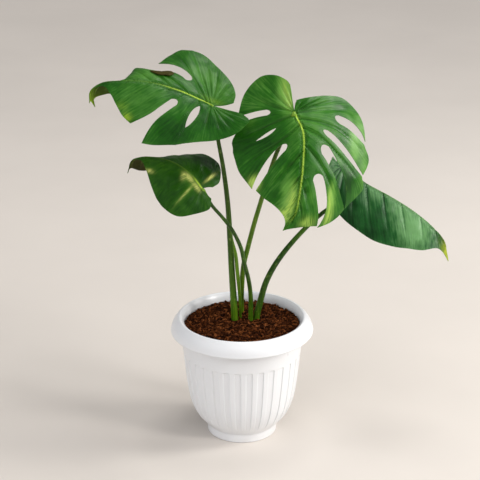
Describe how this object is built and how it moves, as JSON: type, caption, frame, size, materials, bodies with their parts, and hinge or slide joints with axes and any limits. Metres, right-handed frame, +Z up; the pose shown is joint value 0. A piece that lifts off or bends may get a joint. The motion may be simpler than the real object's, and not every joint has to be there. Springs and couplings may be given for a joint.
{
  "type": "potted monstera plant",
  "caption": "Leafy monstera houseplant with cut and whole heart-shaped blades on arching stalks, rooted in soil in a fluted white plastic planter.",
  "frame": {"origin": "middle of the flat underside of the pot's foot", "axes": "+Z up along the pot's axis, the viewer's side towards -Y, the plant's right-hand leaf towards +X"},
  "size_m": [0.4938, 0.2, 0.5331],
  "materials": {
    "pot_plastic": "satin white",
    "potting_soil": "moist coir and bark mix",
    "leaf_blade": "glossy leaf skin",
    "leaf_stalk": "smooth green stalk",
    "young_growth": "smooth yellow-green sheath"
  },
  "bodies": {
    "root": {"pot": "pot_plastic", "soil": "potting_soil", "stalk_upper_left": "leaf_stalk", "stalk_front": "leaf_stalk", "stalk_lower_left": "leaf_stalk", "stalk_right": "leaf_stalk", "spear": "young_growth", "blade_upper_left": "leaf_blade", "blade_front": "leaf_blade", "blade_lower_left": "leaf_blade", "blade_right": "leaf_blade"}
  },
  "joints": []
}
